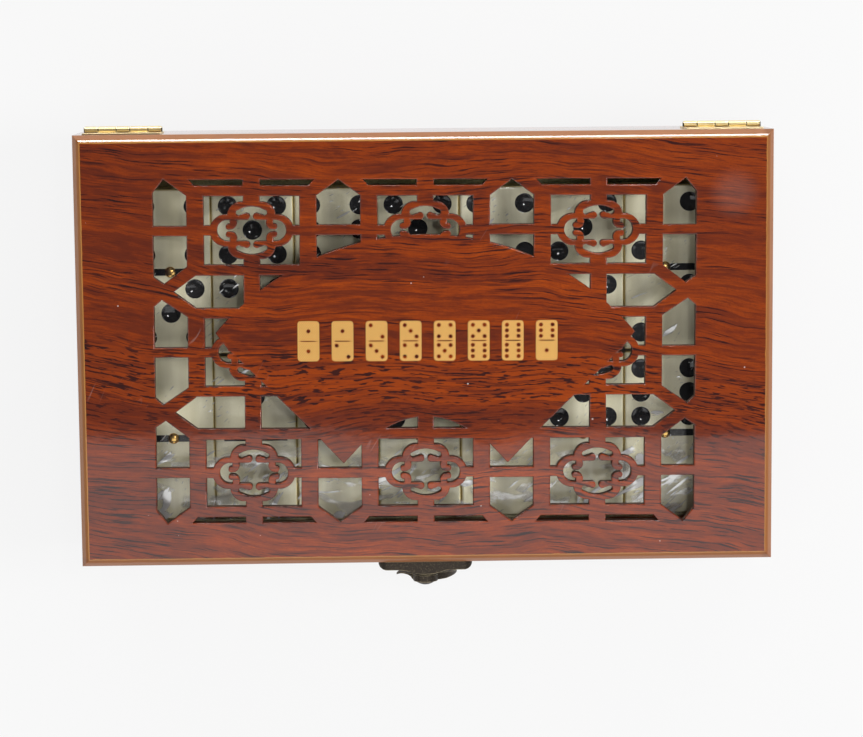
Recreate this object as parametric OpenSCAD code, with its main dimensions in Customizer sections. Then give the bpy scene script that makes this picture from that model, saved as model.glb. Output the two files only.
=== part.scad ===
// Domino storage box: a wooden case with a hinged fretwork lid, two brass hinges, a cast
// hook latch and a film-wrapped double-six set of dominoes lying in two layers.
// Millimetres. The origin is the centre of the resting face. +X runs along the hinge line,
// +Y towards the hinges and +Z up. The lid is closed and the latch hook hangs unhooked.

/* [Case] */
// Outer length of the case, along the hinge line
case_l = 209; // [207:1:214]
// Outer depth of the case, from the latch side to the hinge side
case_w = 130; // [130:1:134]
// Height of the base, from the table up to the seam
base_h = 23; // [23:0.5:26]
// Height of the lid, from the seam up to its face
lid_h = 13; // [12.5:0.5:16]
// Thickness of the wooden walls and rails
wall_t = 11.5; // [10.5:0.25:11.5]
// Thickness of the floor board
floor_t = 3; // [2.5:0.5:3]
// Thickness of the fretted top board
panel_t = 3; // [2.5:0.5:4]

/* [Fretwork] */
// Distance between ornament cells along X
cell_dx = 51.75; // [51:0.25:52]
// Distance between ornament cells along Y
cell_dy = 36.55; // [36:0.05:37]
// Width of an ornament cell
cell_w = 28.46; // [28:0.02:28.6]
// Height of an ornament cell
cell_h = 20.4; // [20:0.1:20.5]
// Width of the wood left between windows, along Y
bar_h = 3.1; // [2.6:0.1:3.4]
// Width of the posts between windows, along X
post_w = 5.12; // [4.6:0.04:5.4]
// Turn of the sawn pattern on the board, in degrees
fret_turn = -0.37; // [-0.5:0.01:0.5]
// Shift of the sawn pattern along X
fret_shift_x = -0.15; // [-0.8:0.05:0.8]
// Shift of the sawn pattern along Y, towards the hinges
fret_shift_y = -0.55; // [-0.8:0.05:0.8]

/* [Dominoes] */
// Width of a domino
tile_w = 24.85; // [24:0.05:24.9]
// Length of a domino
tile_l = 50; // [49:0.1:50]
// Thickness of a domino
tile_t = 10; // [8:0.1:10]
// Diameter of a pip
pip_d = 5.9; // [4:0.1:6]
// Distance between neighbouring pips
pip_pitch = 7.35; // [6.8:0.05:7.6]

/* [Hardware] */
// Length of a hinge
hinge_l = 23.2; // [22:0.1:24]
// Distance of each hinge's centre from the middle of the case
hinge_x = 90.2; // [80:0.1:91]
// Outer diameter of the hinge knuckles
knuckle_d = 2.1; // [2.1:0.1:2.6]
// Diameter of the hinge pins
pin_d = 1; // [0.8:0.1:1]
// Width of the latch plate on the lid
latch_w = 28.7; // [26:0.1:32]
// Distance of the latch from the middle of the case, along X
latch_x = -0.7; // [-3:0.1:3]

/* [Hidden] */
$fn = 64;

// Case.
seam_gap = 0.1;              // paint line between base and lid
lid_z = base_h;              // underside of the lid
top_z = base_h + lid_h;      // face of the lid
panel_z = top_z - panel_t;   // underside of the top board
wall_z = base_h - seam_gap;  // top of the base walls
rim_run = [1.25, 0.95];      // widths of the two bevels round the top board, outer first
rim_drop = [1.5, 0.7];       // heights of the same two bevels
foot_chamfer = 0.6;          // broken lower edge of the floor board

// Felt lining.
felt_t = 0.5;
felt_drop = 0.6;             // the felt stops this far below the seam
inner_l = case_l - 2 * wall_t;
inner_w = case_w - 2 * wall_t;

// Fretwork: lines shared by the windows, all measured from the middle of the pattern.
saw_cut = 1;                 // extra depth of a cut on each side of the board
neck_w = 5;                  // post that holds an ornament in its cell
tie_h = 3;                   // bar that holds an ornament in its cell
mid_w = 13;                  // width of the pointed windows between the cells
strip_h = 1.7;               // height of the thin slots
strip_end = [17, 18.5];      // where their slanted end starts and stops
cell_top = cell_dy + cell_h / 2;
strip_y = cell_top + bar_h + 0.1;
cross_y = cell_h / 2 + bar_h;            // lower edge of the arrow windows
cross_h = 9.8;                           // height of the arrow windows
side_x = cell_dx + cell_w / 2 + post_w;  // inner edge of the end windows
side_w = 9.9;                            // width of the end windows
mid_x = cell_dx / 2;

// Plaque in the middle of the lid: an arc above, slanted ends and two points below.
plaque_top = 35.2;
plaque_r = 82;
plaque_end = [63.3, 6.5];
plaque_waist = [59.5, 1.3];
plaque_knee = [35.2, -22.7];
plaque_point = [24.7, -33.8];
plaque_flank = [19.4, -28.1];
plaque_arch_end = [12.8, -23.4];
plaque_arch = -19.7;
plaque_arch_r = 22;

// Film-wrapped block of dominoes.
film_t = 0.1;
film_gap = 0.05;             // air between the film and the block's sides
tile_round = 0.9;
tile_dx = 25;                // pitch of the columns
tile_dy = 50.85;             // pitch of the rows
block_pos = [-1.9, -2.28];   // the block has slid towards the latch, and a little to -X
layer_gap = 0.25;            // the upper layer stands on the lower layer's spinners
layer_z = [floor_t + felt_t + film_t, floor_t + felt_t + film_t + tile_t + layer_gap];
pip_depth = 0.7;
bar_size = [19.2, 2.1, 0.35];  // divider across a domino: length, width and depth
spinner_d = 3;
spinner_shank_d = 1.4;
spinner_hole_d = 1.5;
spinner_l = 5;
spinner_rise = 0.24;         // height of a spinner's dome over the domino's face
spinner_dome = bar_size[2] + spinner_rise;
block_l = 6 * tile_dx + tile_w;
block_w = tile_dy + tile_l;
block_h = layer_z[1] + tile_t - layer_z[0] + spinner_rise + 0.01;
vent_d = 5;                  // vent holes punched in the film

// The set, in the order it lies: columns from -X to +X, [far half, near half].
LAYERS = [
    [[[1, 1], [1, 2], [1, 3], [1, 4], [1, 5], [1, 6], [3, 3]],    // lower layer, hinge row
     [[3, 4], [3, 5], [3, 6], [4, 4], [4, 6], [5, 6], [6, 6]]],   // lower layer, latch row
    [[[4, 5], [5, 5], [6, 2], [5, 2], [4, 2], [3, 2], [2, 2]],    // upper layer, hinge row
     [[0, 0], [1, 0], [2, 0], [3, 0], [4, 0], [5, 0], [6, 0]]]];  // upper layer, latch row

// Hinges: the axis stands clear of the back faces so that the lid folds right over.
leaf_t = 0.4;
leaf_h = 8.5;                // reach of a leaf from the axis
leaf_gap = 0.15;             // air between a leaf and the other leaf's knuckles
knuckle_gap = 0.25;          // air between two knuckles
axis_off = knuckle_d / 2 + 0.1;
axis_y = case_w / 2 + axis_off;
axis_z = base_h;
pin_play = 0.05;
pin_head_d = 1.6;
pin_head_t = 0.15;
short_k = (hinge_l * 0.354) / 2;              // knuckles 1, 3 and 5, on the base leaf
long_k = (hinge_l - 3 * short_k) / 2;         // knuckles 2 and 4, on the lid leaf
screw_x = 7;                 // screws left and right of a hinge's middle
screw_z = 5.4;               // screws above and below the axis
screw_head_d = 3;
screw_shank_d = 1.3;
screw_l = 7;
screw_rise = 0.15;           // crown of a screw head over its leaf
screw_slot = [2, 0.3, 0.25]; // cross slot in a screw head: length, width and depth
pilot_play = 0.05;

// Latch: heights are measured outwards from the front face.
hub_z = lid_z + 6.3;         // pivot of the hook, over the seam
plate_t = 2.6;               // thickness of the lid plate's wings
boss_h = 4;                  // height of its boss, which carries the hook
wing_r = 3.3;
wing_rise = 0.8;             // wings sit a little above the pivot
wing_hub_r = 5.2;            // round middle of the plate, under the boss
hook_h = [4.4, 6.5];         // inner and outer face of the hook at its pivot
hub_d = 7.6;
rivet_d = 2;
rivet_play = 0.05;
rivet_head_d = 6.2;
rivet_top = 7.8;
stud_drop = 12.2;            // the stud sits this far under the pivot
stud_neck_d = 2.4;
stud_head_d = 4.4;
stud_head_h = [6.7, 7.6];
stud_collar_d = 4;
stud_collar_h = 3.6;
keeper_t = 1.4;              // thickness of the base plate
keeper_w = 18.4;
keeper_wing_r = 2.6;
keeper_hub_r = 4.2;
catch_r = [13.7, 15.9];      // the catch is an arc round the pivot, just under the stud
catch_turn = [15, 36];       // where it lies at rest, in degrees from straight down
arm_pos = [-2.2, -11];       // centre of the arm's own arc
arm_r = [9.8, 12.2];
arm_turn = [-15, 80];
horn_pos = [0.5, -9.05];     // centre of the finger horn's arc
horn_r = [8.1, 10.1];
horn_turn = [93, 155];
// The latch from above, in [distance from the pivot, height over the front face]: the plate
// swells to its boss, and the hook's thin horn curls outwards to the left.
plate_half = [[0, boss_h], [1.6, 3.95], [2.9, 3.75], [4.2, 3.35], [5.6, 2.9], [7.4, plate_t],
    [12.1, plate_t], [13, 2.35], [13.8, 1.8], [14.2, 1.1], [14.35, 0]];
hook_plan = [[-8.9, 5.35], [-8.3, 4.8], [-7.5, 4.4], [-6.6, 4.25], [-5.4, 4.25],
    [-4.2, hook_h[0]], [6, hook_h[0]], [8.2, 4.7], [9.95, 5.2], [9.95, 5.9], [8.5, 6.2],
    [6.4, hook_h[1]], [-3.4, hook_h[1]], [-4, 6.1], [-4.5, 5.4], [-5.3, 4.95], [-6.6, 4.8],
    [-7.5, 4.95], [-8.3, 5.35], [-8.9, 5.75]];
nail_d = 1;
nail_head_d = 2.3;
nail_head_t = 0.6;
nail_l = 7;
nail_x = 10.9;               // nails left and right in the lid plate
keeper_nail_x = 6.9;         // nails left and right in the base plate

function domino_name(halves) = str("domino_", min(halves), "_", max(halves));

// ---- Shapes shared by several pieces ----

// A board whose edges are cut to one profile on all four sides. The profile is a list of
// [distance inwards, height], and the bevels meet in mitres at the corners.
module edged_board(l, w, profile) {
    intersection() {
        rotate([90, 0, 0]) linear_extrude(w, center = true) board_section(l, profile);
        rotate([90, 0, 90]) linear_extrude(l, center = true) board_section(w, profile);
    }
}

module board_section(span, profile) {
    last = len(profile) - 1;
    polygon(concat(
        [for (p = profile) [span / 2 - p[0], p[1]]],
        [for (i = [0 : last]) [profile[last - i][0] - span / 2, profile[last - i][1]]]));
}

// One side of a frame with mitred corners. It lies along X on the -Y side.
module mitred_side(l, w, z, h) {
    translate([0, 0, z]) linear_extrude(h) polygon([
        [-l / 2, -w / 2], [l / 2, -w / 2],
        [l / 2 - wall_t, wall_t - w / 2], [wall_t - l / 2, wall_t - w / 2]]);
}

// Puts a shape on the front face: its X stays, its Y points up and its Z points outwards.
module on_front(x, z) {
    translate([x, -case_w / 2, z]) rotate([90, 0, 0]) children();
}

// Puts a shape on the back face: its Y points up, its Z outwards and its X is mirrored.
module on_back(x, z) {
    translate([x, case_w / 2, z]) rotate([90, 0, 180]) children();
}

module pair(dx) {
    for (side = [-1, 1]) translate([side * dx, 0, 0]) children();
}

module four_ways() {
    for (sx = [0, 1]) for (sy = [0, 1]) mirror([sx, 0]) mirror([0, sy]) children();
}

// A flat arc between two radii, from one angle to another, less than half a turn.
module arc_band(radii, turn) {
    reach = 3 * radii[1];
    middle = (turn[0] + turn[1]) / 2;
    difference() {
        intersection() {
            circle(radii[1]);
            polygon([[0, 0],
                reach * [cos(turn[0]), sin(turn[0])],
                reach * [cos(middle), sin(middle)],
                reach * [cos(turn[1]), sin(turn[1])]]);
        }
        circle(radii[0]);
    }
}

// A flat bar with round ends, from one point to another.
module round_bar(from, to, r) {
    d = to - from;
    translate(from) circle(r);
    translate(to) circle(r);
    translate(from) rotate(atan2(d[1], d[0])) translate([0, -r]) square([norm(d), 2 * r]);
}

// A dome on a flat foot, of a given width and height.
module dome(d, h) {
    r = (d * d / 4 + h * h) / (2 * h);
    intersection() {
        translate([0, 0, h - r]) sphere(r);
        cylinder(h = h, d = d);
    }
}

// ---- Fretwork ----

// The ornament's outline: a flat ring with a lobe above and one below.
module ornament_outline() {
    round_bar([-7.7, 0], [7.7, 0], 4.8);
    for (sy = [-1, 1]) round_bar([-3, sy * 4.4], [3, sy * 4.4], 4.2);
    square([14.4, 8], center = true);
}

// One quarter of the scrollwork: the tips left standing by the upper slit and the side slit.
module ornament_scroll() {
    translate([1.5, 4.2]) circle(1.05);
    translate([6.75, 1.15]) circle(0.92);
    intersection() {
        translate([6.3, 2.3]) circle(2);
        square([6.5, 6]);
    }
}

// A curved slot with round ends, over the middle of the ornament.
module ornament_crescent() {
    intersection() {
        difference() {
            translate([0, -0.75]) circle(7.9);
            translate([0, -5.8]) circle(11);
        }
        translate([0, 6]) square([7.6, 6], center = true);
    }
    for (side = [-1, 1]) translate([side * 3.8, 5.3]) circle(0.83);
}

// What is sawn out of the ornament: one long room, two slits and two crescents.
module ornament_room() {
    round_bar([-7.1, 0], [7.1, 0], 3.15);
    square([3, 11], center = true);
    for (side = [0, 1]) mirror([0, side]) ornament_crescent();
}

// The openings of one ornament cell.
module cell_windows() {
    difference() {
        square([cell_w, cell_h], center = true);
        ornament_outline();
        square([neck_w, cell_h + 1], center = true);
        square([cell_w + 1, tie_h], center = true);
    }
    difference() {
        ornament_room();
        four_ways() ornament_scroll();
    }
}

// Thin slots with one slanted end, left and right of a cell's post.
module slots() {
    x0 = neck_w / 2 + 0.1;
    for (side = [0, 1]) mirror([side, 0]) polygon([
        [x0, strip_y], [strip_end[0], strip_y],
        [strip_end[1], strip_y + strip_h], [x0, strip_y + strip_h]]);
}

// The three five-sided windows at one end of the lattice, in one quarter of it.
module end_windows() {
    x0 = side_x;
    x1 = side_x + side_w;
    tie_low = cell_dy - 1.65;
    tie_high = cell_dy + 1.35;
    polygon([[x0, tie_high], [x1, tie_high], [x1, 47.8], [77.8, 51.8], [x0, 46.9]]);
    polygon([[x0, tie_low], [x1, tie_low], [x1, 22.6], [78, 20.6], [x0, 25.8]]);
    polygon([[x0, tie_h / 2], [x1, tie_h / 2], [x1, 13.8], [78.7, 15.8], [x0, 10.7]]);
}

// The windows between the cells, in one quarter of the lattice.
module cross_windows() {
    x0 = cell_dx + neck_w / 2 + 0.05;
    translate([x0, cross_y]) polygon([
        [0, 0], [14.2, 0], [20.85, cross_h / 2], [14.2, cross_h], [0, cross_h]]);
    translate([33, cross_y]) square([cell_dx - neck_w / 2 + 0.1 - 33, cross_h]);
    translate([neck_w / 2, cross_y]) square([10.3, cross_h]);
    translate([mid_x - mid_w / 2, 0]) polygon([
        [0, 38.2], [mid_w, 38.2], [mid_w, 46.9], [mid_w / 2, 51.6], [0, 46.9]]);
    translate([mid_x - mid_w / 2, cell_dy - cell_h / 2]) square([mid_w, 8.75]);
}

module plaque() {
    right_side = [plaque_arch_end, plaque_flank, plaque_point, plaque_knee, plaque_waist,
                  plaque_end, [plaque_end[0], plaque_top]];
    difference() {
        intersection() {
            translate([0, plaque_top - plaque_r]) circle(plaque_r);
            for (side = [0, 1]) mirror([side, 0])
                polygon(concat([[0, plaque_top], [0, plaque_arch_end[1]]], right_side));
        }
        translate([0, plaque_arch - plaque_arch_r]) circle(plaque_arch_r);
    }
}

// Everything that is sawn out of the top board.
module fretwork() {
    translate([fret_shift_x, fret_shift_y]) rotate(fret_turn) difference() {
        union() {
            for (i = [-1 : 1]) for (j = [-1 : 1])
                if (i != 0 || j != 0) translate([i * cell_dx, j * cell_dy]) cell_windows();
            for (i = [-1 : 1]) for (side = [0, 1])
                translate([i * cell_dx, 0]) mirror([0, side]) slots();
            four_ways() end_windows();
            four_ways() cross_windows();
        }
        plaque();
    }
}

// ---- Lid ----

module lid_fret_panel() {
    color("saddlebrown") difference() {
        edged_board(case_l, case_w, [
            [0, panel_z],
            [0, top_z - rim_drop[0] - rim_drop[1]],
            [rim_run[0], top_z - rim_drop[1]],
            [rim_run[0] + rim_run[1], top_z]]);
        translate([0, 0, panel_z - saw_cut]) linear_extrude(panel_t + 2 * saw_cut) fretwork();
    }
}

module lid_rail(l, w) {
    mitred_side(l, w, lid_z, lid_h - panel_t);
}

module lid_front_rail() {
    color("sienna") difference() {
        lid_rail(case_l, case_w);
        on_front(latch_x, hub_z + wing_rise) pair(nail_x) nail_hole(plate_t);
    }
}

module lid_back_rail() {
    color("sienna") difference() {
        mirror([0, 1, 0]) lid_rail(case_l, case_w);
        hinge_sides() on_back(0, axis_z + screw_z) pair(screw_x) screw_hole();
    }
}

module lid_left_rail() { color("peru") rotate(-90) lid_rail(case_w, case_l); }

module lid_right_rail() { color("peru") rotate(90) lid_rail(case_w, case_l); }

// ---- Base ----

module base_wall(l, w) {
    mitred_side(l, w, floor_t, wall_z - floor_t);
}

module base_front_wall() {
    color("sienna") difference() {
        base_wall(case_l, case_w);
        on_front(latch_x, hub_z - stud_drop) pair(keeper_nail_x) nail_hole(keeper_t);
    }
}

module base_back_wall() {
    color("sienna") difference() {
        mirror([0, 1, 0]) base_wall(case_l, case_w);
        hinge_sides() on_back(0, axis_z - screw_z) pair(screw_x) screw_hole();
    }
}

module base_left_wall() { color("peru") rotate(-90) base_wall(case_w, case_l); }

module base_right_wall() { color("peru") rotate(90) base_wall(case_w, case_l); }

module base_floor() {
    color("saddlebrown") edged_board(case_l, case_w, [
        [foot_chamfer, 0], [0, foot_chamfer], [0, floor_t]]);
}

module lining_floor() {
    color("darkkhaki") translate([-inner_l / 2, -inner_w / 2, floor_t])
        cube([inner_l, inner_w, felt_t]);
}

// One strip of felt, glued round the four walls.
module lining_walls() {
    z = floor_t + felt_t;
    h = wall_z - felt_drop - z;
    color("olive") translate([0, 0, z]) linear_extrude(h) difference() {
        square([inner_l, inner_w], center = true);
        square([inner_l - 2 * felt_t, inner_w - 2 * felt_t], center = true);
    }
}

// ---- Dominoes ----

// Where the pips of one half sit, in pip pitches from the middle of the half.
function pip_places(n) = concat(
    n % 2 == 1 ? [[0, 0]] : [],
    n >= 2 ? [[1, 1], [-1, -1]] : [],
    n >= 4 ? [[1, -1], [-1, 1]] : [],
    n == 6 ? [[1, 0], [-1, 0]] : []);

module rounded_rect(l, w, r) {
    square([l, w - 2 * r], center = true);
    square([l - 2 * r, w], center = true);
    for (sx = [-1, 1]) for (sy = [-1, 1])
        translate([sx * (l / 2 - r), sy * (w / 2 - r)]) circle(r);
}

// A block whose edges are rounded on all sides, standing on z = 0.
module rounded_block(l, w, h, r) {
    translate([0, 0, h / 2]) intersection() {
        linear_extrude(h, center = true) rounded_rect(l, w, r);
        rotate([90, 0, 0]) linear_extrude(w, center = true) rounded_rect(l, h, r);
        rotate([90, 0, 90]) linear_extrude(l, center = true) rounded_rect(w, h, r);
    }
}

// One domino, lying with its long side along Y and its face at z = tile_t.
module domino(halves) {
    ball_r = (pip_d * pip_d / 4 + pip_depth * pip_depth) / (2 * pip_depth);
    difference() {
        rounded_block(tile_w, tile_l, tile_t, tile_round);
        translate([-bar_size[0] / 2, -bar_size[1] / 2, tile_t - bar_size[2]])
            cube([bar_size[0], bar_size[1], 1]);
        translate([0, 0, tile_t - spinner_l]) cylinder(h = spinner_l + 1, d = spinner_hole_d);
        for (i = [0, 1]) for (p = pip_places(halves[i]))
            translate([p[0] * pip_pitch, (0.5 - i) * tile_l / 2 + p[1] * pip_pitch,
                       tile_t - pip_depth + ball_r]) sphere(ball_r);
    }
}

// Puts a shape where the domino of one layer, row and column lies.
module at_domino(layer, row, column) {
    translate([block_pos[0] + (column - 3) * tile_dx,
               block_pos[1] + (0.5 - row) * tile_dy, layer_z[layer]]) children();
}

// Brass pin in the middle of a domino, with a domed head in the divider's recess.
module spinner_pin() {
    head_z = tile_t - bar_size[2];
    translate([0, 0, tile_t - spinner_l + 0.1])
        cylinder(h = spinner_l - 0.1 - bar_size[2], d = spinner_shank_d);
    intersection() {
        translate([0, 0, head_z]) dome(spinner_d, spinner_dome);
        translate([-spinner_d / 2, -bar_size[1] / 2 + 0.02, head_z])
            cube([spinner_d, bar_size[1] - 0.04, 1]);
    }
}

module spinner_pins() {
    color("gold") for (layer = [0, 1]) for (row = [0, 1]) for (column = [0 : 6])
        at_domino(layer, row, column) spinner_pin();
}

// Shrink film round the whole block, with a vent hole at each end.
module shrink_film() {
    l = block_l + 2 * film_gap;
    w = block_w + 2 * film_gap;
    color("white", 0.3) translate([block_pos[0], block_pos[1], layer_z[0] - film_t])
        difference() {
            translate([-l / 2 - film_t, -w / 2 - film_t, 0])
                cube([l + 2 * film_t, w + 2 * film_t, block_h + 2 * film_t]);
            translate([-l / 2, -w / 2, film_t]) cube([l, w, block_h]);
            for (side = [-1, 1]) translate([side * l / 2, tile_dy / 4, block_h / 2])
                rotate([0, 90, 0]) cylinder(h = 2, d = vent_d, center = true);
        }
}

// ---- Hinges ----

module hinge_sides() {
    pair(hinge_x) children();
}

// Countersunk screw on the back face, and the hole that it needs in the wood.
module screw() {
    head_r = screw_head_d / 2;
    neck_r = screw_shank_d / 2;
    difference() {
        union() {
            cylinder(h = leaf_t, r1 = neck_r, r2 = head_r);
            translate([0, 0, leaf_t]) dome(screw_head_d, screw_rise);
            translate([0, 0, leaf_t - screw_l]) cylinder(h = screw_l - leaf_t / 2, r = neck_r);
        }
        for (turn = [0, 90]) rotate(turn)
            translate([-screw_slot[0] / 2, -screw_slot[1] / 2, leaf_t - screw_slot[2]])
                cube([screw_slot[0], screw_slot[1], 1]);
    }
}

module screw_hole() {
    translate([0, 0, leaf_t - screw_l - pilot_play])
        cylinder(h = screw_l, d = screw_shank_d + 2 * pilot_play);
}

module countersink() {
    play = 0.02;
    translate([0, 0, -play]) cylinder(h = leaf_t + 2 * play,
        r1 = screw_shank_d / 2 + play, r2 = screw_head_d / 2 + play);
    translate([0, 0, -1]) cylinder(h = 2, d = screw_shank_d + 2 * play);
}

// Left edge of each of the five knuckles, from the middle of the hinge.
function knuckle_x(i) = -hinge_l / 2 + ceil(i / 2) * short_k + floor(i / 2) * long_k;

// One leaf with its knuckles. first is 0 for knuckles 1, 3 and 5 or 1 for 2 and 4, and up
// is 1 for the leaf above the axis or -1 for the one below it.
module hinge_leaf(first, up) {
    knuckles = [for (i = [first : 2 : 4]) i];
    back = -axis_off;
    difference() {
        union() {
            translate([-hinge_l / 2, back, up > 0 ? knuckle_d / 2 + leaf_gap : -leaf_h])
                cube([hinge_l, leaf_t, leaf_h - knuckle_d / 2 - leaf_gap]);
            for (i = knuckles) {
                k = (i % 2 == 0 ? short_k : long_k) - knuckle_gap;
                translate([knuckle_x(i) + knuckle_gap / 2, 0, 0]) {
                    rotate([0, 90, 0]) cylinder(h = k, d = knuckle_d);
                    translate([0, back, up > 0 ? 0 : -knuckle_d / 2 - 2 * leaf_gap])
                        cube([k, leaf_t, knuckle_d / 2 + 2 * leaf_gap]);
                }
            }
        }
        rotate([0, 90, 0]) cylinder(h = hinge_l + 2, d = pin_d + 2 * pin_play, center = true);
        translate([0, back, up * screw_z]) pair(screw_x) rotate([90, 0, 180]) countersink();
    }
}

module hinge_pin() {
    reach = hinge_l / 2;
    rotate([0, 90, 0]) cylinder(h = hinge_l, d = pin_d, center = true);
    for (side = [0, 1]) mirror([side, 0, 0]) translate([reach, 0, 0])
        rotate([0, 90, 0]) cylinder(h = pin_head_t, d = pin_head_d);
}

module at_hinge(side) {
    color("gold") translate([side * hinge_x, axis_y, axis_z]) children();
}

module hinge_left_lid_leaf() { at_hinge(-1) hinge_leaf(1, 1); }

module hinge_left_base_leaf() { at_hinge(-1) hinge_leaf(0, -1); }

module hinge_left_pin() { at_hinge(-1) hinge_pin(); }

module hinge_right_lid_leaf() { at_hinge(1) hinge_leaf(1, 1); }

module hinge_right_base_leaf() { at_hinge(1) hinge_leaf(0, -1); }

module hinge_right_pin() { at_hinge(1) hinge_pin(); }

module hinge_lid_screws() {
    color("goldenrod") hinge_sides() on_back(0, axis_z + screw_z) pair(screw_x) screw();
}

module hinge_base_screws() {
    color("goldenrod") hinge_sides() on_back(0, axis_z - screw_z) pair(screw_x) screw();
}

// ---- Latch ----

module nail(plate) {
    translate([0, 0, plate]) dome(nail_head_d, nail_head_t);
    translate([0, 0, plate - nail_l]) cylinder(h = nail_l + 0.05, d = nail_d);
}

module nail_hole(plate) {
    translate([0, 0, plate - nail_l - pilot_play])
        cylinder(h = nail_l, d = nail_d + 2 * pilot_play);
}

// A solid that has the given outline from above, to cut a flat shape on the front face with.
module plan_cut(points) {
    rotate([90, 0, 0]) linear_extrude(60, center = true) polygon(points);
}

module at_hub() { color("dimgray") on_front(latch_x, hub_z) children(); }

// Cast plate on the lid: two wings that swell to a boss for the hook.
module latch_lid_plate() {
    wing_x = latch_w / 2 - wing_r;
    plan = concat(plate_half, [for (i = [len(plate_half) - 1 : -1 : 1])
        [-plate_half[i][0], plate_half[i][1]]]);
    at_hub() difference() {
        intersection() {
            linear_extrude(boss_h) {
                round_bar([-wing_x, wing_rise], [wing_x, wing_rise], wing_r);
                intersection() {
                    circle(wing_hub_r);
                    translate([-wing_hub_r, wing_rise + wing_r - 3 * wing_hub_r])
                        square([2 * wing_hub_r, 3 * wing_hub_r]);
                }
            }
            plan_cut(plan);
        }
        translate([0, 0, -1]) cylinder(h = boss_h + 2, d = rivet_d + rivet_play);
        translate([0, wing_rise, -1]) pair(nail_x) cylinder(h = 4, d = nail_d + pilot_play);
    }
}

// The hook: an arm that curves down to the catch on one side, and a finger horn on the other.
module latch_hook() {
    at_hub() difference() {
        intersection() {
            translate([0, 0, hook_h[0]]) linear_extrude(hook_h[1] - hook_h[0]) {
                circle(d = hub_d);
                translate(arm_pos) arc_band(arm_r, arm_turn);
                arc_band(catch_r, [catch_turn[0] - 90, catch_turn[1] - 90]);
                translate(horn_pos) {
                    arc_band(horn_r, horn_turn);
                    rotate(horn_turn[1]) translate([(horn_r[0] + horn_r[1]) / 2, 0])
                        circle((horn_r[1] - horn_r[0]) / 2);
                }
            }
            plan_cut(hook_plan);
        }
        translate([0, 0, hook_h[0] - 1]) cylinder(h = 4, d = rivet_d + 2 * rivet_play);
    }
}

module latch_rivet() {
    head_z = hook_h[1] + rivet_play;
    at_hub() {
        translate([0, 0, 0.2]) cylinder(h = head_z, d = rivet_d);
        translate([0, 0, head_z]) dome(rivet_head_d, rivet_top - head_z);
    }
}

module at_stud() { color("dimgray") on_front(latch_x, hub_z - stud_drop) children(); }

module latch_base_plate() {
    wing_x = keeper_w / 2 - keeper_wing_r;
    at_stud() difference() {
        linear_extrude(keeper_t) {
            round_bar([-wing_x, 0], [wing_x, 0], keeper_wing_r);
            circle(keeper_hub_r);
        }
        translate([0, 0, -1]) cylinder(h = 4, d = stud_neck_d + rivet_play);
        translate([0, 0, -1]) pair(keeper_nail_x) cylinder(h = 4, d = nail_d + pilot_play);
    }
}

// Mushroom stud that the catch goes under.
module latch_stud() {
    at_stud() {
        translate([0, 0, 0.2]) cylinder(h = stud_head_h[0], d = stud_neck_d);
        translate([0, 0, keeper_t])
            cylinder(h = stud_collar_h - keeper_t, d1 = stud_collar_d, d2 = stud_neck_d);
        translate([0, 0, stud_head_h[0]]) dome(stud_head_d, stud_head_h[1] - stud_head_h[0]);
    }
}

module latch_lid_nails() {
    color("dimgray") on_front(latch_x, hub_z + wing_rise) pair(nail_x) nail(plate_t);
}

module latch_base_nails() {
    color("dimgray") on_front(latch_x, hub_z - stud_drop) pair(keeper_nail_x) nail(keeper_t);
}

// ---- One line for each node ----

lid_fret_panel();
lid_front_rail();
lid_back_rail();
lid_left_rail();
lid_right_rail();
base_floor();
base_front_wall();
base_back_wall();
base_left_wall();
base_right_wall();
lining_floor();
lining_walls();
hinge_left_lid_leaf();
hinge_left_base_leaf();
hinge_left_pin();
hinge_right_lid_leaf();
hinge_right_base_leaf();
hinge_right_pin();
hinge_lid_screws();
hinge_base_screws();
latch_lid_plate();
latch_hook();
latch_rivet();
latch_base_plate();
latch_stud();
latch_lid_nails();
latch_base_nails();
spinner_pins();
shrink_film();

// The dominoes: one node for each, named after its two halves.
for (layer = [0, 1]) for (row = [0, 1]) for (column = [0 : 6]) {
    halves = LAYERS[layer][row][column];
    color("ivory") at_domino(layer, row, column) domino(halves);
}
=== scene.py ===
# %% [markdown]
# # A domino storage box
#
# The case is a shallow wooden box. Its lid is a board with a sawn lattice, set in a mitred frame, and
# the dominoes show through the lattice under a skin of shrink film. Two brass hinges hold the lid at
# the back and a cast hook latch holds it at the front. The solids of the model are loaded first. Each
# one is then finished: its edges are eased and it gets the material of the real piece.

# %% Load the frame
from math import cos, pi, radians, sin
import bmesh
import bpy
from mathutils import Matrix, Vector, noise


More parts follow.
